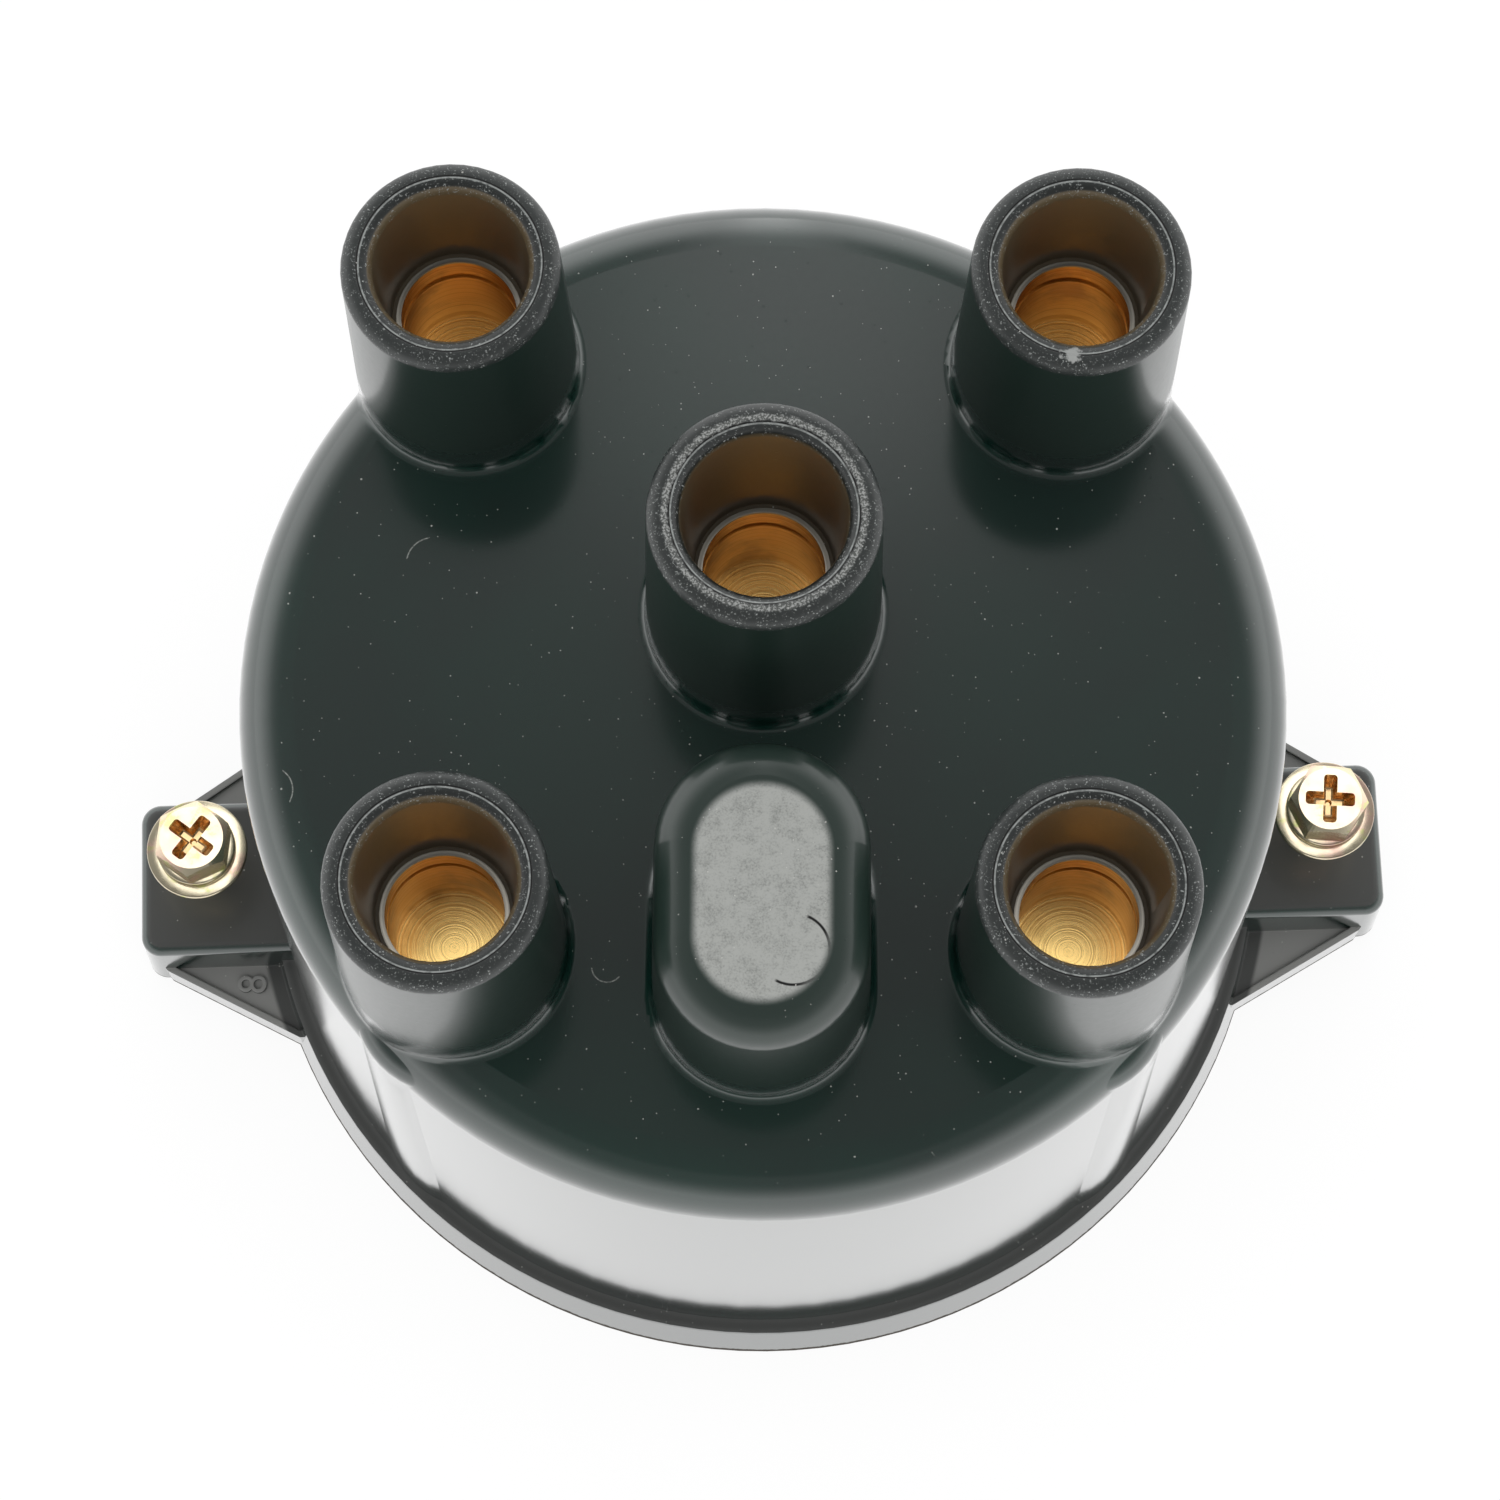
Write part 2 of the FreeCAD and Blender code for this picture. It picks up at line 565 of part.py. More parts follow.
def screw_set(side, x, hex_turn, cross_turn):
    y = "Sizes.EarHoleShift"
    lock_foot = "Sizes.WasherUnderside + Sizes.WasherThickness"
    head_z = lock_foot + " + Sizes.LockThickness"
    prism = doc.addObject("Part::Prism", "hex_" + side)
    prism.Polygon = 6
    bind(prism, Circumradius="Sizes.HexAcross / 2 / cos(30 deg)", Height="Sizes.HexHeight")
    at(prism, x, y, head_z)
    prism.Placement.Rotation = FreeCAD.Rotation(FreeCAD.Vector(0, 0, 1), hex_turn)
    crown = cone("crown_" + side, "Sizes.HexAcross / 2 + Sizes.HexHeight * 1.5", "Sizes.HexAcross / 2 - 0.1",
                 "Sizes.HexHeight", x, y, head_z)
    head = doc.addObject("Part::Common", "head_" + side)
    head.Base = prism
    head.Tool = crown
    shank = cylinder("shank_" + side, "Sizes.ScrewRadius", head_z, x, y, "0")
    solid = fuse("screw_solid_" + side, [head, shank])
    slots = []
    for number in range(2):
        slot = doc.addObject("Part::Wedge", "slot_%s_%d" % (side, number))
        bind(slot, Xmin="-Sizes.RecessRadius / 2", Xmax="Sizes.RecessRadius / 2", X2min="-Sizes.RecessRadius",
             X2max="Sizes.RecessRadius", Zmin="-Sizes.RecessWidth / 3", Zmax="Sizes.RecessWidth / 3",
             Z2min="-Sizes.RecessWidth / 2", Z2max="Sizes.RecessWidth / 2", Ymin="0", Ymax="Sizes.RecessDepth")
        lie = FreeCAD.Rotation(FreeCAD.Vector(1, 0, 0), 90)
        turn = FreeCAD.Rotation(FreeCAD.Vector(0, 0, 1), cross_turn + 90 * number)
        slot.Placement.Rotation = turn.multiply(lie)
        at(slot, x, y, "%s + Sizes.HexHeight - Sizes.RecessDepth" % head_z)
        slots.append(slot)
    recess = fuse("recess_" + side, slots)
    nodes["screw_" + side] = in_ears(cut("screw_" + side, solid, recess), x)
    flat = ring("flat_washer_" + side, "Sizes.WasherRadius", "Sizes.WasherHole", "Sizes.WasherThickness", x, y,
                "Sizes.WasherUnderside")
    nodes["flat_washer_" + side] = in_ears(flat, x)
    lock_ring = ring("lock_ring_" + side, "Sizes.LockRadius", "Sizes.WasherHole", "Sizes.LockThickness", x, y,
                     lock_foot)
    gap = box("lock_gap_" + side, "Sizes.LockRadius", "Sizes.LockGap", "Sizes.LockThickness", x,
              "%s - Sizes.LockGap / 2" % y, lock_foot)
    nodes["lock_washer_" + side] = in_ears(cut("lock_washer_" + side, lock_ring, gap), x)


screw_set("left", "-Sizes.EarHoleReach", 3, 40)
screw_set("right", "Sizes.EarHoleReach", 27, 0)
doc.recompute()

bad = []
for obj in doc.Objects:
    if "Invalid" in obj.State or "Error" in obj.State:
        bad.append(obj.Name)
    if hasattr(obj, "Shape") and (obj.Shape.isNull() or not obj.Shape.isValid()):
        bad.append(obj.Name)
if bad:
    raise RuntimeError("not built: " + ", ".join(sorted(set(bad))))
for name, obj in nodes.items():
    obj.Label = name
    if len(obj.Shape.Solids) != 1:
        raise RuntimeError("%s has %d solids" % (name, len(obj.Shape.Solids)))
    obj.Shape.exportStep("parts/%s.step" % name)
    bounds = obj.Shape.BoundBox
    print("%-22s %8.1f mm3  z %.2f to %.2f" % (name, obj.Shape.Volume, bounds.ZMin, bounds.ZMax))
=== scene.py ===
import math

import bmesh
import bpy
from mathutils import Matrix, Vector


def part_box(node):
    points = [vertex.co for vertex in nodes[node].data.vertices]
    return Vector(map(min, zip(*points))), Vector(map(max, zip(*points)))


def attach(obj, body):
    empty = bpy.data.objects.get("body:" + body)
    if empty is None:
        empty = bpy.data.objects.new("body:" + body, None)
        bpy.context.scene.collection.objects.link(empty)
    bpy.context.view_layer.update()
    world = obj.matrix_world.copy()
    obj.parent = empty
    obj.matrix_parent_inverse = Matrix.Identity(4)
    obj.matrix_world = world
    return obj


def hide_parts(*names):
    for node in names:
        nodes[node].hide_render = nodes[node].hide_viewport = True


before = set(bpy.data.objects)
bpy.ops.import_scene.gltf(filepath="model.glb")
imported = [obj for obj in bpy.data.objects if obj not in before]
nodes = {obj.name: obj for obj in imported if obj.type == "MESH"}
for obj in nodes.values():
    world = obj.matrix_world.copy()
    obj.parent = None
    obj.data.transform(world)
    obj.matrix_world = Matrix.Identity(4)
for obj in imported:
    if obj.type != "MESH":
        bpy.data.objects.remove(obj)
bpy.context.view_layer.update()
scene = bpy.context.scene
mm = 0.001

# node helpers
def addNode(tree, kind, inputs=None, **settings):
    node = tree.nodes.new(kind)
    for name, value in settings.items():
        setattr(node, name, value)
    for name, value in (inputs or {}).items():
        if isinstance(value, bpy.types.NodeSocket):
            tree.links.new(value, node.inputs[name])
        else:
            node.inputs[name].default_value = value
    return node


def calc(tree, operation, a, b=0.0):
    node = tree.nodes.new("ShaderNodeMath")
    node.operation = operation
    for socket, value in zip(node.inputs, (a, b)):
        if isinstance(value, bpy.types.NodeSocket):
            tree.links.new(value, socket)
        else:
            socket.default_value = value
    return node.outputs[0]


def times(tree, a, b):
    return calc(tree, "MULTIPLY", a, b)


def plus(tree, a, b):
    return calc(tree, "ADD", a, b)


def minus(tree, a, b):
    return calc(tree, "SUBTRACT", a, b)


def larger(tree, *values):
    most = values[0]
    for value in values[1:]:
        most = calc(tree, "MAXIMUM", most, value)
    return most


def magnitude(tree, value):
    return calc(tree, "ABSOLUTE", value)


# A smooth step of value from low to high.
def between(tree, value, low, high, atLow=0.0, atHigh=1.0):
    return addNode(tree, "ShaderNodeMapRange", {"Value": value, "From Min": low, "From Max": high,
                                                "To Min": atLow, "To Max": atHigh},
                   interpolation_type="SMOOTHSTEP").outputs[0]


def blendColour(tree, share, first, second):
    node = addNode(tree, "ShaderNodeMix", data_type="RGBA")
    for socket, value in ((node.inputs[0], share), (node.inputs[6], first), (node.inputs[7], second)):
        if isinstance(value, bpy.types.NodeSocket):
            tree.links.new(value, socket)
        else:
            socket.default_value = value
    return node.outputs[2]


def noise(tree, vector, scale, detail=3.0, roughness=0.55):
    return addNode(tree, "ShaderNodeTexNoise", {"Vector": vector, "Scale": scale, "Detail": detail,
                                                "Roughness": roughness}).outputs[0]


def newMaterial(name):
    material = bpy.data.materials.new(name)
    material.use_nodes = True
    tree = material.node_tree
    coords = tree.nodes.new("ShaderNodeTexCoord").outputs["Object"]
    split = addNode(tree, "ShaderNodeSeparateXYZ", {"Vector": coords})
    return material, tree, tree.nodes["Principled BSDF"], coords, split.outputs


def hypotenuse(tree, a, b):
    return calc(tree, "SQRT", plus(tree, times(tree, a, a), times(tree, b, b)))


def distanceBetween(tree, a, b):
    return addNode(tree, "ShaderNodeVectorMath", {0: a, 1: b}, operation="DISTANCE").outputs["Value"]


# Distance in the plan from a vertical line at x, y.
def distanceFrom(tree, split, x, y):
    return hypotenuse(tree, minus(tree, split["X"], x), minus(tree, split["Y"], y))


def link(tree, value, socket):
    tree.links.new(value, socket)


# camera and light
view = {
    "place": (-0.484 * mm, -122.077 * mm, 503.049 * mm),
    "pitchDown": 75.007,   # degrees below the horizon
    "turn": 0.381,         # degrees about the vertical, to the left
    "lens": 108.66,
    "sensor": 36.0,
}

light = {
    "floorSize": 6.0,
    "floorColour": (0.86, 0.86, 0.86, 1.0),
    "floorRoughness": 0.9,
    "floorGlow": 0.88,
    "floorShade": 0.16,
    "horizon": 1.25,
    "upper": 0.25,
    "zenith": 0.165,
    "plain": 0.95,
    "horizonEdges": (0.05, 0.79),   # height at which the sky is fully bright, and where that ends
    "zenithEdges": (0.88, 0.95),
    "rearTilt": -0.25,     # the bright part reaches higher behind the object than in front
    "frontTilt": -0.25,
    "panel": {"x": 0.009, "inner": 0.012, "outer": 0.075, "low": 0.295, "high": 0.335, "strength": 0.62},
    "metalLamp": {"place": (0.0, 0.16, 0.75), "size": 0.55, "power": 1.15},
}


def makeCamera():
    data = bpy.data.cameras.new("viewCamera")
    camera = bpy.data.objects.new("viewCamera", data)
    scene.collection.objects.link(camera)
    data.sensor_width = view["sensor"]
    data.lens = view["lens"]
    data.clip_start = 0.02
    data.clip_end = 20.0
    pitch = math.radians(view["pitchDown"])
    camera.rotation_euler = (math.pi / 2 - pitch, 0.0, math.radians(view["turn"]))
    camera.location = view["place"]
    scene.camera = camera


def makeWorld():
    world = bpy.data.worlds.new("studio")
    scene.world = world
    world.use_nodes = True
    tree = world.node_tree
    tree.nodes.clear()
    direction = tree.nodes.new("ShaderNodeTexCoord").outputs["Generated"]
    split = addNode(tree, "ShaderNodeSeparateXYZ", {"Vector": direction}).outputs
    behind = times(tree, calc(tree, "MAXIMUM", split["Y"], 0.0), light["rearTilt"])
    before = times(tree, calc(tree, "MINIMUM", split["Y"], 0.0), light["frontTilt"])
    height = plus(tree, split["Z"], plus(tree, behind, before))
    ceiling = between(tree, height, *light["zenithEdges"], light["upper"], light["zenith"])
    walls = between(tree, height, *light["horizonEdges"], light["horizon"] - light["upper"], 0.0)
    panel = light["panel"]   # a soft panel high up behind the object
    aside = magnitude(tree, minus(tree, split["X"], panel["x"]))
    lit = times(tree, between(tree, aside, panel["inner"], panel["outer"], panel["strength"], 0.0),
                between(tree, split["Y"], panel["low"], panel["high"]))
    studio = plus(tree, plus(tree, ceiling, walls), lit)
    path = tree.nodes.new("ShaderNodeLightPath").outputs
    soft = addNode(tree, "ShaderNodeBackground", {"Strength": light["plain"]})
    gloss = addNode(tree, "ShaderNodeBackground", {"Strength": studio})
    white = addNode(tree, "ShaderNodeBackground", {"Strength": 1.0})
    for shader in (soft, gloss, white):
        shader.inputs["Color"].default_value = (1, 1, 1, 1)
    first = addNode(tree, "ShaderNodeMixShader", {0: path["Is Diffuse Ray"], 1: gloss.outputs[0],
                                                  2: soft.outputs[0]})
    second = addNode(tree, "ShaderNodeMixShader", {0: path["Is Camera Ray"], 1: first.outputs[0],
                                                   2: white.outputs[0]})
    out = tree.nodes.new("ShaderNodeOutputWorld")
    tree.links.new(second.outputs[0], out.inputs["Surface"])


# A round lamp overhead that lights only the metal pieces, as a reflector over the bores would.
def makeMetalLamp(receivers):
    settings = light["metalLamp"]
    data = bpy.data.lights.new("metalLamp", "AREA")
    data.shape = "DISK"
    data.size = settings["size"]
    data.energy = settings["power"]
    lamp = bpy.data.objects.new("metalLamp", data)
    scene.collection.objects.link(lamp)
    lamp.location = settings["place"]
    group = bpy.data.collections.new("metalPieces")
    for piece in receivers:
        group.objects.link(piece)
    lamp.light_linking.receiver_collection = group


def makeFloor():
    bm = bmesh.new()
    bmesh.ops.create_grid(bm, x_segments=1, y_segments=1, size=light["floorSize"] / 2)
    mesh = bpy.data.meshes.new("floor")
    bm.to_mesh(mesh)
    bm.free()
    floor = bpy.data.objects.new("floor", mesh)
    scene.collection.objects.link(floor)
    material = bpy.data.materials.new("floorWhite")
    material.use_nodes = True
    tree = material.node_tree
    plain = tree.nodes["Principled BSDF"]
    plain.inputs["Base Color"].default_value = light["floorColour"]
    plain.inputs["Roughness"].default_value = light["floorRoughness"]
    path = tree.nodes.new("ShaderNodeLightPath").outputs
    seen = larger(tree, path["Is Camera Ray"], path["Is Glossy Ray"], path["Is Transmission Ray"])
    glow = addNode(tree, "ShaderNodeEmission", {"Strength": light["floorGlow"]})
    shade = addNode(tree, "ShaderNodeBsdfDiffuse", {"Color": (light["floorShade"],) * 3 + (1.0,)})
    bright = addNode(tree, "ShaderNodeAddShader", {0: glow.outputs[0], 1: shade.outputs[0]})
    mix = addNode(tree, "ShaderNodeMixShader", {0: seen, 1: plain.outputs[0], 2: bright.outputs[0]})
    tree.links.new(mix.outputs[0], tree.nodes["Material Output"].inputs["Surface"])
    floor.data.materials.append(material)


makeCamera()
makeWorld()
makeFloor()
scene.view_settings.view_transform = "Standard"
print("camera, light and floor made")


# moulded body
moulding = {
    "dark": (0.0060, 0.0230, 0.0180, 1.0),
    "green": (0.0045, 0.0290, 0.0210, 1.0),
    "tower": (0.0190, 0.0360, 0.0290, 1.0),
    # painted reflection: bronze on the mouths' inner walls stands in for the brass sleeves mirrored in the black
    # plastic
    "paintedBoreReflection": (0.115, 0.085, 0.045, 1.0),
    "rim": (0.030, 0.035, 0.034, 1.0),
    "lip": (0.012, 0.015, 0.014, 1.0),
    # grey flecks on the rims; also the colour of the painted highlight beside each witness line
    "rimFleckAndHighlight": (0.34, 0.36, 0.35, 1.0),
    "ground": (0.34, 0.35, 0.34, 1.0),
    "groundDark": (0.09, 0.095, 0.09, 1.0),
    "humpTop": (0.40, 0.41, 0.39, 1.0),
    "humpGrain": (0.25, 0.26, 0.245, 1.0),
    "web": (0.30, 0.30, 0.29, 1.0),
    "ear": (0.075, 0.078, 0.075, 1.0),
    "dust": (0.66, 0.66, 0.62, 1.0),
    "flash": (0.050, 0.036, 0.024, 1.0),
    "line": (0.003, 0.003, 0.003, 1.0),
    "gloss": 0.15,
    "satin": 0.30,
    "boreSatin": 0.40,
    "earSatin": 0.38,
    "matte": 0.36,
    "wornRough": 0.75,
    "ior": 1.6,
    "coatIor": 1.7,
    "coatRoughness": 0.13,
    "towerCoat": 0.3,
}
towerPlan = {
    "half": 30.0 * mm,        # the four outer towers stand on a square
    "shift": 3.5 * mm,        # whose centre is behind the body's axis
    "centreShift": 7.6 * mm,
    "line": 8.90 * mm,        # the mould's witness line round each mouth
    "lineWidth": (0.10 * mm, 0.05 * mm),
    "inBore": (8.05 * mm, 7.85 * mm),
    "reach": (14.0 * mm, 13.0 * mm),
    "outerRim": (98.5 * mm, 98.9 * mm),     # heights over which a rim's look begins
    "centreRim": (102.5 * mm, 102.9 * mm),
    "centreMouth": (103.5 * mm, 103.8 * mm),
    "groundRing": 9.3 * mm,
}
roofHeight = 72.0 * mm
# heights, or distances from the body's axis, over which a look begins
zone = {
    "tower": (roofHeight + 1.0 * mm, roofHeight + 6.0 * mm),
    "humpFlat": (95.6 * mm, 96.2 * mm),
    "ear": (13.0 * mm, 12.5 * mm),
    "earFrom": (52.5 * mm, 53.0 * mm),
    "webLow": (3.9 * mm, 4.2 * mm),
    "webHigh": (5.6 * mm, 5.3 * mm),
    "webFrom": (57.0 * mm, 57.6 * mm),
    "flash": (0.50 * mm, 0.20 * mm),
    "wallFootHigh": (9.5 * mm, 8.5 * mm),
    "wallFootLow": (5.8 * mm, 6.4 * mm),
    "up": (0.80, 0.97),       # how far up a face looks before dust stays on it
}
chip = (28.9 * mm, 24.75 * mm, 99.7 * mm)   # bright nick in the rear right rim
# fibres: centre of the arc, radius, and the side that is kept with its share of the radius
fibres = (
    ((-48.6 * mm, -11.0 * mm), 2.4 * mm, (1.0, 0.25, 0.76)),
    ((-15.0 * mm, -28.6 * mm), 1.5 * mm, (-0.3, -0.95, 0.35)),
    ((17.5 * mm, -45.9 * mm), 1.1 * mm, (0.2, -0.98, 0.30)),
    ((-33.0 * mm, 12.5 * mm), 2.6 * mm, (-0.7, 0.7, 0.80)),
)
fibreWidth = (0.09 * mm, 0.03 * mm)
humpFlat = {"y": -26.7 * mm, "run": 4.0 * mm, "radius": 6.1 * mm, "soft": 0.7 * mm}
scratch = {"centre": (2.9 * mm, -32.1 * mm), "radius": 3.35 * mm, "width": 0.19 * mm, "lean": 0.48,
           "from": (2.5 * mm, 2.9 * mm)}
# dust, from coarse to fine: scale, size of a speck in its cell and share of empty cells
specks = ((280.0, 0.036, 0.60), (850.0, 0.100, 0.62), (1700.0, 0.140, 0.62))
dustCover = 0.6
texture = {"grain": 1500.0, "fine": 5200.0, "broad": 30.0, "smear": 700.0, "pits": 900.0}   # scales
corner = {"plain": 0.30 * mm, "wallFoot": 1.0 * mm}   # radii of corners that only the material rounds
bumpDepth = 0.03 * mm


# Masks of the tower mouths: rim, lip, witness line, the painted highlight beside it, ground ring, and the inner wall
# that gets a painted reflection of the brass.
def mouthMasks(tree, split, grain, broad):
    z = split["Z"]
    plan = tree.nodes.new("ShaderNodeCombineXYZ")
    link(tree, magnitude(tree, split["X"]), plan.inputs[0])
    link(tree, magnitude(tree, minus(tree, split["Y"], towerPlan["shift"])), plan.inputs[1])
    fromOuter = distanceBetween(tree, plan.outputs[0], (towerPlan["half"], towerPlan["half"], 0.0))
    fromCentre = distanceFrom(tree, split, 0.0, towerPlan["centreShift"])
    outerRim = times(tree, between(tree, z, *towerPlan["outerRim"]), between(tree, fromOuter, *towerPlan["reach"]))
    centreRim = times(tree, between(tree, z, *towerPlan["centreRim"]), between(tree, fromCentre, *towerPlan["reach"]))
    rim = larger(tree, outerRim, centreRim)
    nearest = calc(tree, "MINIMUM", fromOuter, fromCentre)
    wobble = times(tree, minus(tree, broad, 0.5), 0.3 * mm)
    offLine = minus(tree, plus(tree, nearest, wobble), towerPlan["line"])
    line = times(tree, between(tree, magnitude(tree, offLine), *towerPlan["lineWidth"]), rim)
    # painted highlight: a thin bright line just inside the witness line
    paintedRimHighlight = times(tree, between(tree, magnitude(tree, plus(tree, offLine, 0.17 * mm)), 0.11 * mm, 0.04 * mm), rim)
    lip = times(tree, between(tree, offLine, -0.1 * mm, -0.9 * mm), rim)
    # painted reflection: the inner wall of each mouth above the roof is coloured bronze, as the brass sleeve mirrored
    # in it
    paintedBoreReflection = times(tree, between(tree, nearest, *towerPlan["inBore"]), calc(tree, "GREATER_THAN", z, roofHeight))
    # the centre rim has been ground, which left a rough pale ring
    offRing = magnitude(tree, minus(tree, fromCentre, towerPlan["groundRing"]))
    ragged = plus(tree, offRing, times(tree, grain, 0.9 * mm))
    ground = times(tree, between(tree, ragged, 0.90 * mm, 0.60 * mm), between(tree, z, *towerPlan["centreMouth"]))
    return rim, lip, line, paintedRimHighlight, paintedBoreReflection, ground


# Masks of the flat on top of the hump, and of its curved scratch.
def humpMasks(tree, split):
    along = minus(tree, magnitude(tree, minus(tree, split["Y"], humpFlat["y"])), humpFlat["run"])
    fromHump = hypotenuse(tree, calc(tree, "MAXIMUM", along, 0.0), split["X"])
    hump = between(tree, fromHump, humpFlat["radius"] + humpFlat["soft"], humpFlat["radius"] - humpFlat["soft"] / 2)
    hump = times(tree, hump, between(tree, split["Z"], *zone["humpFlat"]))
    offScratch = magnitude(tree, minus(tree, distanceFrom(tree, split, *scratch["centre"]), scratch["radius"]))
    lean = times(tree, minus(tree, split["Y"], scratch["centre"][1]), scratch["lean"])
    onArc = times(tree, between(tree, minus(tree, split["X"], lean), *scratch["from"]), hump)
    return hump, times(tree, between(tree, offScratch, scratch["width"], scratch["width"] / 3), onArc)


def dustMask(tree, coords, fine, up):
    dust = 0.0
    for scale, reach, share in specks:
        cells = addNode(tree, "ShaderNodeTexVoronoi", {"Vector": coords, "Scale": scale})
        some = addNode(tree, "ShaderNodeSeparateColor", {"Color": cells.outputs["Color"]}).outputs
        away = plus(tree, cells.outputs["Distance"], times(tree, fine, reach * 0.8))
        radius = plus(tree, times(tree, some[1], reach), reach * 0.3)
        spot = times(tree, calc(tree, "LESS_THAN", away, radius), calc(tree, "GREATER_THAN", some[0], share))
        dust = larger(tree, spot, dust)
    return times(tree, times(tree, dust, up), dustCover)


# Arcs that lie on the roof, each cut to one side of its circle.
def fibreMask(tree, split, fine, up):
    hair = 0.0
    for place, radius, (acrossX, acrossY, share) in fibres:
        off = magnitude(tree, minus(tree, distanceFrom(tree, split, *place), radius))
        side = plus(tree, times(tree, minus(tree, split["X"], place[0]), acrossX),
                    times(tree, minus(tree, split["Y"], place[1]), acrossY))
        arc = times(tree, between(tree, off, *fibreWidth), calc(tree, "GREATER_THAN", side, share * radius))
        hair = larger(tree, arc, hair)
    onRoof = calc(tree, "LESS_THAN", split["Z"], roofHeight + 0.1 * mm)
    return times(tree, times(tree, times(tree, hair, up), onRoof), between(tree, fine, 0.35, 0.55, 0.15, 0.45))


# Masks of the ears' worn tops and of the webs.
def earMasks(tree, split, up):
    z = split["Z"]
    fromAxis = distanceFrom(tree, split, 0.0, 0.0)
    ear = times(tree, times(tree, between(tree, z, *zone["ear"]), up), between(tree, fromAxis, *zone["earFrom"]))
    web = times(tree, between(tree, z, *zone["webLow"]), between(tree, z, *zone["webHigh"]))
    return ear, times(tree, times(tree, web, up), between(tree, fromAxis, *zone["webFrom"]))


# Pits, grain, the witness line's groove and a softened corner at the wall's foot.
def mouldedNormal(tree, coords, z, grain, onTower, line):
    pits = addNode(tree, "ShaderNodeTexVoronoi", {"Vector": coords, "Scale": texture["pits"]})
    kind = addNode(tree, "ShaderNodeSeparateColor", {"Color": pits.outputs["Color"]}).outputs[0]
    pit = times(tree, between(tree, pits.outputs["Distance"], 0.16, 0.04), between(tree, kind, 0.80, 0.84))
    height = plus(tree, times(tree, grain, between(tree, onTower, 0.0, 1.0, 0.12, 0.25)), pit)
    height = minus(tree, height, times(tree, line, 3.0))
    foot = times(tree, between(tree, z, *zone["wallFootHigh"]), between(tree, z, *zone["wallFootLow"]))
    radius = between(tree, foot, 0.0, 1.0, corner["plain"], corner["wallFoot"])
    rounded = addNode(tree, "ShaderNodeBevel", {"Radius": radius}, samples=4).outputs[0]
    return addNode(tree, "ShaderNodeBump", {"Strength": 0.5, "Distance": bumpDepth, "Height": height,
                                            "Normal": rounded}).outputs[0]


def mouldedMaterial():
    material, tree, shader, coords, split = newMaterial("mouldedBody")
    z = split["Z"]
    grain = noise(tree, coords, texture["grain"], 4.0)
    fine = noise(tree, coords, texture["fine"], 2.0)
    broad = noise(tree, coords, texture["broad"], 3.0)
    normal = addNode(tree, "ShaderNodeNewGeometry").outputs["Normal"]
    up = between(tree, addNode(tree, "ShaderNodeSeparateXYZ", {"Vector": normal}).outputs["Z"], *zone["up"])
    rim, lip, line, paintedRimHighlight, paintedBoreReflection, ground = mouthMasks(tree, split, grain, broad)
    hump, scratched = humpMasks(tree, split)
    ear, web = earMasks(tree, split, up)
    specked = larger(tree, dustMask(tree, coords, fine, up), fibreMask(tree, split, fine, up))
    fromChip = plus(tree, distanceBetween(tree, coords, chip), times(tree, grain, 2.2 * mm))
    nick = between(tree, fromChip, 2.1 * mm, 1.7 * mm)
    onTower = between(tree, z, *zone["tower"])
    flash = between(tree, minus(tree, z, times(tree, grain, 0.7 * mm)), *zone["flash"])
    fleck = times(tree, times(tree, between(tree, fine, 0.56, 0.70), between(tree, grain, 0.40, 0.60)), rim)
    # the painted highlight breaks up with the grain
    paintedRimHighlight = times(tree, paintedRimHighlight, between(tree, grain, 0.25, 0.60, 0.2, 0.9))
    smear = plus(tree, times(tree, noise(tree, coords, texture["smear"], 5.0, 0.7), 0.5), times(tree, fine, 0.4))
    humpColour = blendColour(tree, between(tree, smear, 0.38, 0.62), moulding["humpTop"], moulding["humpGrain"])
    groundColour = blendColour(tree, between(tree, fine, 0.45, 0.60), moulding["groundDark"], moulding["ground"])

    # each look covers those before it; the mouths' inner walls get a painted reflection of the brass, and the bright
    # line beside the witness line a painted highlight
    colour = blendColour(tree, between(tree, broad, 0.4, 0.62), moulding["dark"], moulding["green"])
    for share, look in ((onTower, "tower"), (rim, "rim"), (lip, "lip"), (paintedBoreReflection, "paintedBoreReflection"), (ear, "ear"), (web, "web"),
                        (fleck, "rimFleckAndHighlight"), (paintedRimHighlight, "rimFleckAndHighlight"), (line, "line"), (hump, humpColour),
                        (scratched, "line"), (ground, groundColour), (nick, "ground"), (specked, "dust"),
                        (flash, "flash")):
        colour = blendColour(tree, share, colour, moulding[look] if isinstance(look, str) else look)
    link(tree, colour, shader.inputs["Base Color"])

    # glossy roof and wall, satin towers and matte worn faces
    worn = larger(tree, hump, ground, nick, flash, web)
    rough = between(tree, onTower, 0.0, 1.0, moulding["gloss"], moulding["satin"])
    for share, value in ((rim, "matte"), (ear, "earSatin"), (paintedBoreReflection, "boreSatin"), (worn, "wornRough")):
        rough = larger(tree, rough, times(tree, share, moulding[value]))
    rough = plus(tree, rough, times(tree, minus(tree, grain, 0.5), 0.06))
    link(tree, rough, shader.inputs["Roughness"])
    shader.inputs["IOR"].default_value = moulding["ior"]
    bare = larger(tree, worn, times(tree, larger(tree, rim, ear), 0.8))
    coat = times(tree, between(tree, onTower, 0.0, 1.0, 1.0, moulding["towerCoat"]), minus(tree, 1.0, bare))
    link(tree, coat, shader.inputs["Coat Weight"])
    shader.inputs["Coat Roughness"].default_value = moulding["coatRoughness"]
    shader.inputs["Coat IOR"].default_value = moulding["coatIor"]
    link(tree, mouldedNormal(tree, coords, z, grain, onTower, line), shader.inputs["Normal"])
    return material


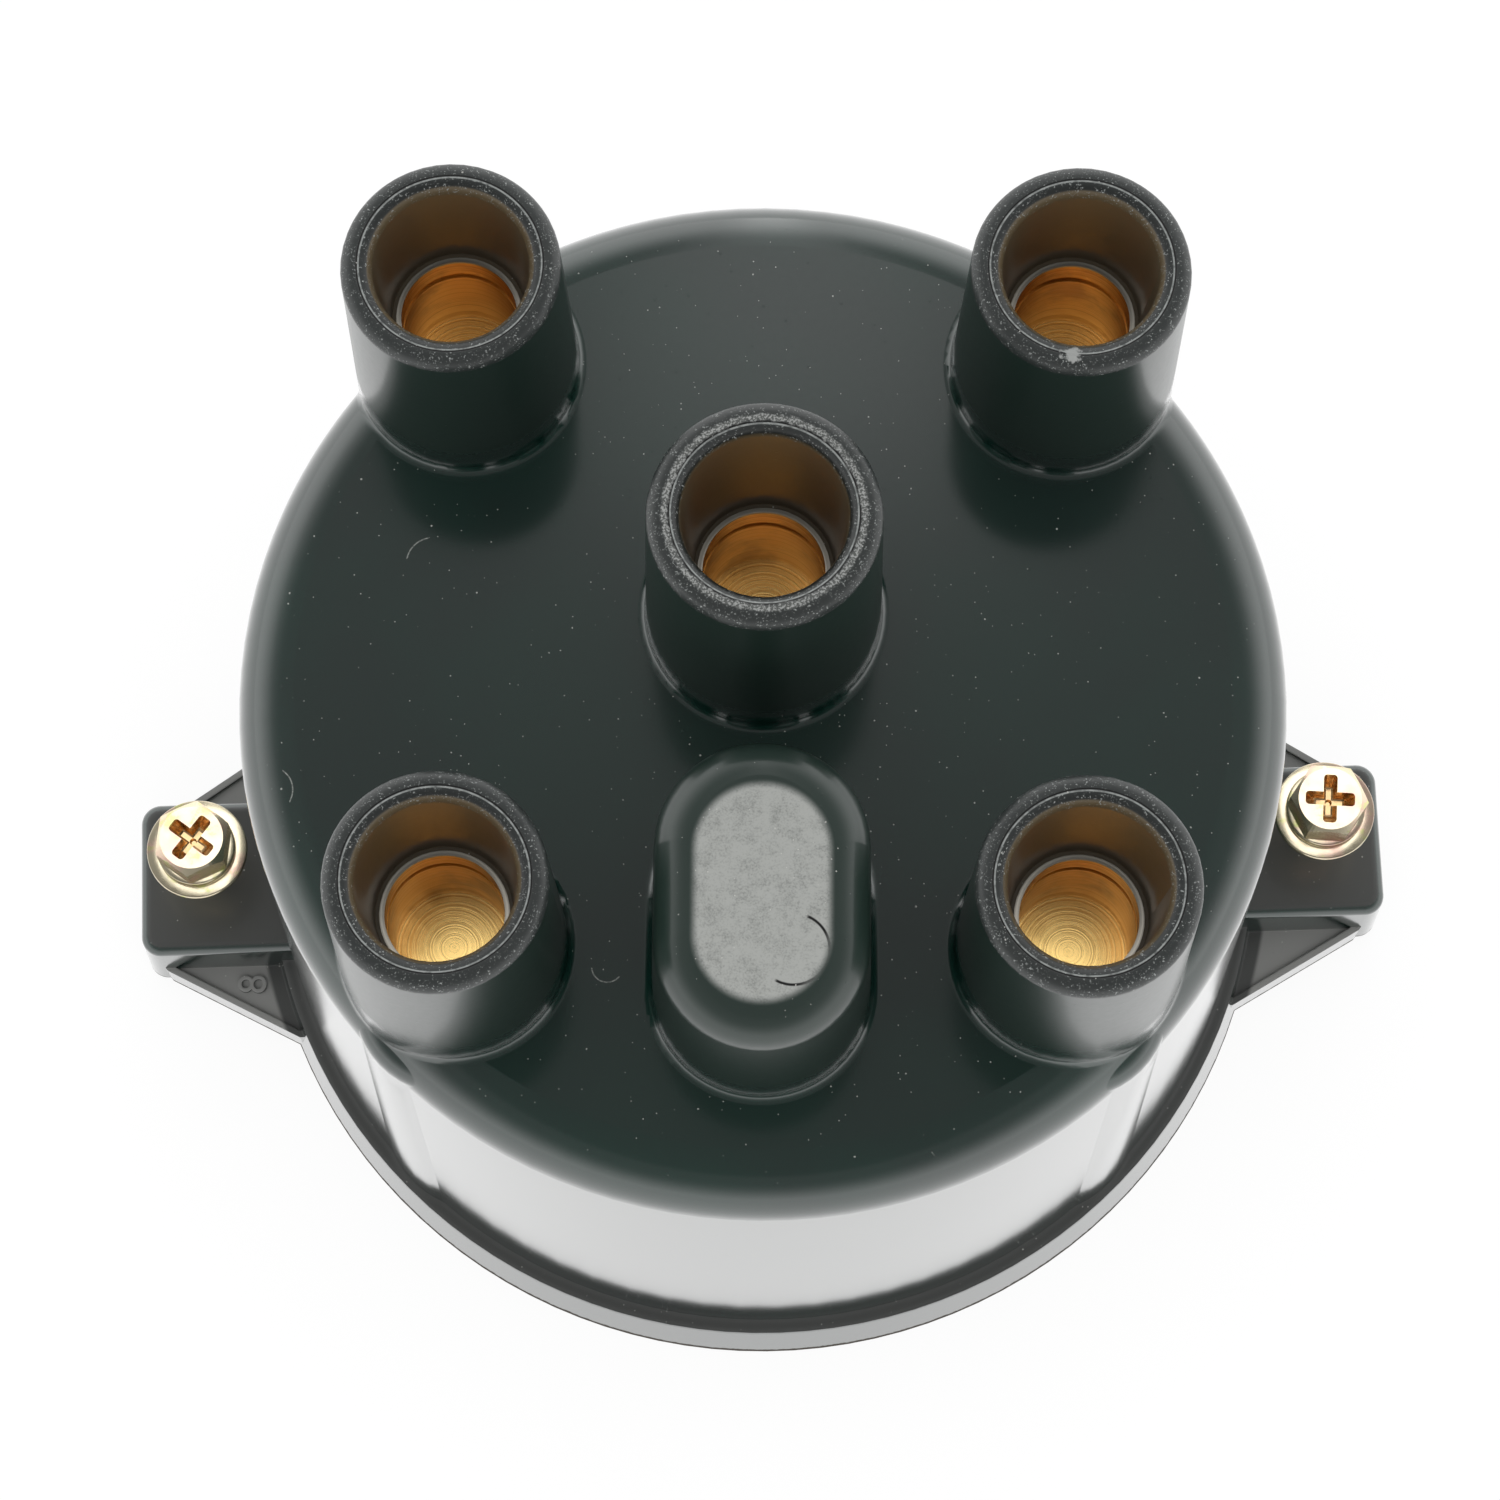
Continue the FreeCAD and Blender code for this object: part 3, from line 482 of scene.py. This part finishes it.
# metals and carbon
metal = {
    "brass": (0.82, 0.42, 0.10, 1.0),
    "brassDark": (0.50, 0.23, 0.055, 1.0),
    "floor": (0.95, 0.66, 0.24, 1.0),
    "floorDark": (0.66, 0.42, 0.13, 1.0),
    # painted reflection: the sleeves' top ends are grey to stand in for the sky's silvery glint on their rounded edge
    "lip": (0.32, 0.30, 0.26, 1.0),
    "recess": (0.80, 0.54, 0.28, 1.0),
    "zinc": (0.93, 0.83, 0.60, 1.0),
    "zincPink": (0.94, 0.66, 0.53, 1.0),
    "zincGreen": (0.80, 0.82, 0.36, 1.0),
    "steel": (0.46, 0.46, 0.47, 1.0),
    "carbon": (0.022, 0.022, 0.024, 1.0),
}
sleeveEndSheen = (85.1 * mm, 85.35 * mm)   # heights over which a sleeve's end turns grey, a painted silvery reflection of the sky
sleeveRough, floorRough = (0.30, 0.42), (0.16, 0.30)


def brassMaterial(name, centre, bright, dark, scale, roughness):
    material, tree, shader, coords, split = newMaterial(name)
    radius = distanceFrom(tree, split, centre[0], centre[1])
    rings = addNode(tree, "ShaderNodeTexNoise", {"W": plus(tree, radius, split["Z"]), "Scale": scale,
                                                "Detail": 2.0}, noise_dimensions="1D").outputs[0]
    stain = noise(tree, coords, 170.0, 4.0)
    colour = blendColour(tree, between(tree, stain, 0.48, 0.75), bright, dark)
    colour = blendColour(tree, between(tree, rings, 0.50, 0.75, 0.0, 0.45), colour, dark)
    # painted reflection: the sleeve's top end is coloured grey
    colour = blendColour(tree, between(tree, split["Z"], *sleeveEndSheen), colour, metal["lip"])
    link(tree, colour, shader.inputs["Base Color"])
    link(tree, between(tree, rings, 0.3, 0.7, *roughness), shader.inputs["Roughness"])
    shader.inputs["Metallic"].default_value = 1.0
    bump = addNode(tree, "ShaderNodeBump", {"Strength": 0.4, "Distance": bumpDepth, "Height": rings})
    link(tree, bump.outputs[0], shader.inputs["Normal"])
    return material


def zincMaterial():
    material, tree, shader, coords, split = newMaterial("yellowZinc")
    tint = noise(tree, coords, 260.0, 2.0)
    other = noise(tree, coords, 520.0, 3.0)
    colour = blendColour(tree, between(tree, tint, 0.48, 0.66), metal["zinc"], metal["zincPink"])
    colour = blendColour(tree, between(tree, other, 0.56, 0.72), colour, metal["zincGreen"])
    # the cross recess is darker, and amber
    left, right = [sum(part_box("screw_" + side), Vector()) / 2 for side in ("left", "right")]
    fromScrew = calc(tree, "MINIMUM", distanceFrom(tree, split, left.x, left.y),
                     distanceFrom(tree, split, right.x, right.y))
    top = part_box("screw_left")[1].z
    inHead = calc(tree, "GREATER_THAN", split["Z"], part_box("lock_washer_left")[1].z)
    recess = times(tree, between(tree, fromScrew, 3.05 * mm, 2.95 * mm),
                   times(tree, between(tree, split["Z"], top - 0.12 * mm, top - 0.30 * mm), inHead))
    colour = blendColour(tree, recess, colour, metal["recess"])
    link(tree, colour, shader.inputs["Base Color"])
    link(tree, between(tree, other, 0.3, 0.7, 0.16, 0.26), shader.inputs["Roughness"])
    shader.inputs["Metallic"].default_value = 1.0
    bump = addNode(tree, "ShaderNodeBump", {"Strength": 0.15, "Distance": bumpDepth, "Height": other})
    link(tree, bump.outputs[0], shader.inputs["Normal"])
    return material


def plainMaterial(name, colour, roughness, metallic, grainScale):
    material, tree, shader, coords = newMaterial(name)[:4]
    grain = noise(tree, coords, grainScale, 3.0)
    shade = tuple(0.6 * v for v in colour[:3]) + (1.0,)
    link(tree, blendColour(tree, between(tree, grain, 0.35, 0.65), colour, shade), shader.inputs["Base Color"])
    link(tree, between(tree, grain, 0.3, 0.7, roughness - 0.06, roughness + 0.08), shader.inputs["Roughness"])
    shader.inputs["Metallic"].default_value = metallic
    bump = addNode(tree, "ShaderNodeBump", {"Strength": 0.2, "Distance": bumpDepth, "Height": grain})
    link(tree, bump.outputs[0], shader.inputs["Normal"])
    return material


def dress(node, material):
    mesh = nodes[node].data
    mesh.materials.clear()
    mesh.materials.append(material)


mould = mouldedMaterial()
zinc = zincMaterial()
steel = plainMaterial("springSteel", metal["steel"], 0.3, 1.0, 900.0)
carbon = plainMaterial("carbon", metal["carbon"], 0.5, 0.0, 1500.0)
dress("cap_body", mould)
metalPieces = []
towerNames = ("rear_left", "rear_right", "front_left", "front_right", "centre")
for key in towerNames:
    low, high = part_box("sleeve_" + key)
    middle = (low + high) / 2
    head = "centre_contact" if key == "centre" else "electrode_" + key
    dress("sleeve_" + key,
          brassMaterial("brassSleeve_" + key, middle, metal["brass"], metal["brassDark"], 2600.0, sleeveRough))
    dress(head, brassMaterial("brassFloor_" + key, middle, metal["floor"], metal["floorDark"], 4200.0, floorRough))
    metalPieces += [nodes["sleeve_" + key], nodes[head]]
dress("carbon_brush", carbon)
dress("brush_spring", steel)
print("materials set")


# screws and washers
screw = {
    "across": 7.4 * mm,       # hexagon, flat to flat
    "topRadius": 3.45 * mm,   # the round chamfered top
    "crest": 2.4 * mm,
    "root": 2.05 * mm,
    "pitch": 0.8 * mm,
    "wing": 3.70 * mm,        # half length of the cross, well above the head
    "wingWidth": 1.75 * mm,
    "wingDepth": 2.0 * mm,
    "wingRound": 0.34 * mm,
    "wingTaper": (0.45, 0.70),   # the wing's length and width at its foot
    "point": (0.25 * mm, 1.45 * mm, 5.2 * mm),   # the recess's middle: foot and top radius, height
    "coneSlope": 1.35,
    "edge": 0.10 * mm,
    "threadStart": 0.4 * mm,
    "stepsPerTurn": 24,
    "hexTurn": {"left": -5.0, "right": 26.0},
    "crossTurn": {"left": -36.0, "right": -3.0},
}
washer = {"edge": 0.18 * mm, "split": 8.0, "lift": 0.12 * mm, "play": 0.3 * mm, "splitAt": 40.0, "steps": 64}


def meshObject(name, bm):
    bmesh.ops.recalc_face_normals(bm, faces=bm.faces)
    mesh = bpy.data.meshes.new(name)
    bm.to_mesh(mesh)
    bm.free()
    made = bpy.data.objects.new(name, mesh)
    scene.collection.objects.link(made)
    return made


# Puts the result of the modifiers into the piece's own mesh.
def bake(piece):
    graph = bpy.context.evaluated_depsgraph_get()
    result = bpy.data.meshes.new_from_object(piece.evaluated_get(graph))
    piece.modifiers.clear()
    piece.data = result


def carve(piece, tool, operation="DIFFERENCE"):
    step = piece.modifiers.new("carve", "BOOLEAN")
    step.operation = operation
    step.solver = "EXACT"
    step.object = tool
    bake(piece)
    bpy.data.objects.remove(tool)


# One tapered wing of the cross recess, standing in the head.
def crossWing(angle, top):
    bm = bmesh.new()
    bmesh.ops.create_cube(bm, size=1.0)
    for vert in bm.verts:
        shrink, narrow = screw["wingTaper"] if vert.co.z < 0 else (1.0, 1.0)
        vert.co = Vector((vert.co.x * 2 * screw["wing"] * shrink, vert.co.y * screw["wingWidth"] * narrow,
                          vert.co.z * screw["wingDepth"] * 2))
    bmesh.ops.bevel(bm, geom=bm.edges[:], offset=screw["wingRound"], segments=3, affect="EDGES", profile=0.5,
                     material=-1)
    bmesh.ops.rotate(bm, verts=bm.verts, cent=(0, 0, 0), matrix=Matrix.Rotation(math.radians(angle), 3, "Z"))
    bmesh.ops.translate(bm, verts=bm.verts, vec=top)
    return meshObject("wing", bm)


# Hexagonal head, cut by a cone that leaves its round top.
def makeHead(side, axis, seat, top):
    tall = top - seat
    bm = bmesh.new()
    bmesh.ops.create_cone(bm, cap_ends=True, segments=6, radius1=screw["across"] / math.sqrt(3),
                          radius2=screw["across"] / math.sqrt(3), depth=tall)
    bmesh.ops.rotate(bm, verts=bm.verts, cent=(0, 0, 0),
                     matrix=Matrix.Rotation(math.radians(screw["hexTurn"][side]), 3, "Z"))
    bmesh.ops.translate(bm, verts=bm.verts, vec=(axis.x, axis.y, seat + tall / 2))
    head = meshObject("screwHead_" + side, bm)
    bm = bmesh.new()
    deep = 3 * tall
    bmesh.ops.create_cone(bm, cap_ends=True, segments=64, radius1=screw["topRadius"] + deep * screw["coneSlope"],
                          radius2=screw["topRadius"], depth=deep)
    bmesh.ops.translate(bm, verts=bm.verts, vec=(axis.x, axis.y, top - deep / 2))
    carve(head, meshObject("chamferCone", bm), "INTERSECT")
    for angle in (0.0, 90.0):
        carve(head, crossWing(angle + screw["crossTurn"][side], (axis.x, axis.y, top)))
    bm = bmesh.new()   # the recess's pointed middle
    foot, wide, deep = screw["point"]
    bmesh.ops.create_cone(bm, cap_ends=True, segments=24, radius1=foot, radius2=wide, depth=deep)
    bmesh.ops.translate(bm, verts=bm.verts, vec=(axis.x, axis.y, top))
    carve(head, meshObject("recessCone", bm))
    soft = head.modifiers.new("soft", "BEVEL")
    soft.width = screw["edge"]
    soft.segments = 2
    soft.limit_method = "ANGLE"
    soft.angle_limit = math.radians(28)
    soft.harden_normals = False
    bake(head)
    return head


# One pitch of the thread's outline, wound down the shank round a core.
def makeShank(side, axis, seat, foot):
    turns = int((seat - foot) / screw["pitch"]) - 1
    start = foot + screw["threadStart"]
    root, crest = screw["root"], screw["crest"]
    outline = ((root, 0.0), (crest, 0.35), (crest, 0.5), (root, 0.85), (root, 1.0))
    bm = bmesh.new()
    points = [bm.verts.new((r, 0.0, start + share * screw["pitch"])) for r, share in outline]
    edges = [bm.edges.new(pair) for pair in zip(points, points[1:])]
    bmesh.ops.spin(bm, geom=points + edges, cent=(0, 0, 0), axis=(0, 0, 1),
                   dvec=(0, 0, screw["pitch"] / screw["stepsPerTurn"]), angle=2 * math.pi * turns,
                   steps=screw["stepsPerTurn"] * turns, use_merge=False, use_duplicate=False)
    bmesh.ops.remove_doubles(bm, verts=bm.verts, dist=0.004 * mm)
    core = bmesh.ops.create_cone(bm, cap_ends=True, segments=24, radius1=root * 0.80,
                                 radius2=root * 0.99, depth=seat - foot)["verts"]
    bmesh.ops.translate(bm, verts=core, vec=(0, 0, (seat + foot) / 2))
    bmesh.ops.translate(bm, verts=bm.verts, vec=(axis.x, axis.y, 0))
    return meshObject("screwShank_" + side, bm)


def makeScrew(side):
    low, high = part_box("screw_" + side)
    axis = sum(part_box("flat_washer_" + side), Vector()) / 2
    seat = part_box("lock_washer_" + side)[1].z
    head = makeHead(side, axis, seat, high.z)
    shank = makeShank(side, axis, seat, low.z)
    for piece in (head, shank):
        piece.data.materials.clear()
        piece.data.materials.append(zinc)
        for face in piece.data.polygons:
            face.use_smooth = piece is shank
        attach(piece, "cap")
    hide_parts("screw_" + side)
    return [head, shank]


# A washer: a rounded rectangle spun about its axis, open and lifted where it is split.
def ring(name, inner, outer, low, high, gap=0.0, lift=0.0, centre=(0, 0)):
    bm = bmesh.new()
    corners = [(inner, low), (outer, low), (outer, high), (inner, high)]
    verts = [bm.verts.new((r, 0, z)) for r, z in corners]
    face = bm.faces.new(verts)
    bmesh.ops.bevel(bm, geom=list(face.edges) + verts, offset=washer["edge"], segments=2, affect="VERTICES",
                    profile=0.5, material=-1)
    angle = 2 * math.pi - math.radians(gap)
    steps = washer["steps"]
    flat = bm.faces[:] + bm.edges[:] + bm.verts[:]
    bmesh.ops.rotate(bm, verts=bm.verts, cent=(0, 0, 0),
                     matrix=Matrix.Rotation(math.radians(washer["splitAt"] + gap / 2), 3, "Z"))
    if gap:
        bmesh.ops.spin(bm, geom=flat, cent=(0, 0, 0), axis=(0, 0, 1), dvec=(0, 0, lift / steps), angle=angle,
                       steps=steps, use_merge=False, use_duplicate=False)
    else:
        bmesh.ops.spin(bm, geom=flat, cent=(0, 0, 0), axis=(0, 0, 1), angle=angle, steps=steps,
                       use_merge=True, use_duplicate=False)
        inside = [f for f in bm.faces if abs(f.normal.z) < 0.01 and len(f.verts) > 4]
        bmesh.ops.delete(bm, geom=inside, context="FACES_ONLY")
    bmesh.ops.translate(bm, verts=bm.verts, vec=(centre[0], centre[1], 0))
    made = meshObject(name, bm)
    made.data.materials.append(zinc)
    for polygon in made.data.polygons:
        polygon.use_smooth = True
    made.data.set_sharp_from_angle(angle=math.radians(40))
    return made


for side in ("left", "right"):
    metalPieces += makeScrew(side)
    low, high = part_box("flat_washer_" + side)
    middle = (low + high) / 2
    inner = screw["crest"] + washer["play"]
    flat = ring("flatWasher_" + side, inner, (high.x - low.x) / 2, low.z, high.z, centre=middle)
    lockLow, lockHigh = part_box("lock_washer_" + side)
    lock = ring("lockWasher_" + side, inner, (lockHigh.x - lockLow.x) / 2, lockLow.z,
                lockHigh.z - washer["lift"], washer["split"], washer["lift"], middle)
    for piece, node in ((flat, "flat_washer_"), (lock, "lock_washer_")):
        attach(piece, "cap")
        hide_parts(node + side)
        metalPieces.append(piece)
makeMetalLamp(metalPieces)
print("screws and washers made")


# cast numeral on the left web
numeral = {
    "text": "8",
    "size": 4.6 * mm,
    "place": (-56.9 * mm, -16.3 * mm),
    "sunk": 0.1 * mm,
    "proud": 0.38 * mm,
    "webTop": 4.7 * mm,
}


def makeNumeral():
    curve = bpy.data.curves.new("numeral", "FONT")
    curve.body = numeral["text"]
    curve.size = numeral["size"]
    curve.align_x = "CENTER"
    curve.align_y = "CENTER"
    curve.extrude = (numeral["sunk"] + numeral["proud"]) / 2
    draft = bpy.data.objects.new("numeralText", curve)
    scene.collection.objects.link(draft)
    graph = bpy.context.evaluated_depsgraph_get()
    mesh = bpy.data.meshes.new_from_object(draft.evaluated_get(graph))
    bpy.data.objects.remove(draft)
    rise = numeral["webTop"] + (numeral["proud"] - numeral["sunk"]) / 2
    mesh.transform(Matrix.Translation((*numeral["place"], rise)) @ Matrix.Rotation(math.radians(90), 4, "Z"))
    bm = bmesh.new()
    bm.from_mesh(mesh)
    bmesh.ops.remove_doubles(bm, verts=bm.verts, dist=0.002 * mm)
    bm.to_mesh(mesh)
    bm.free()
    made = bpy.data.objects.new("castNumeral", mesh)
    scene.collection.objects.link(made)
    made.data.materials.clear()
    made.data.materials.append(mould)
    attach(made, "cap")


makeNumeral()
print("numeral made")
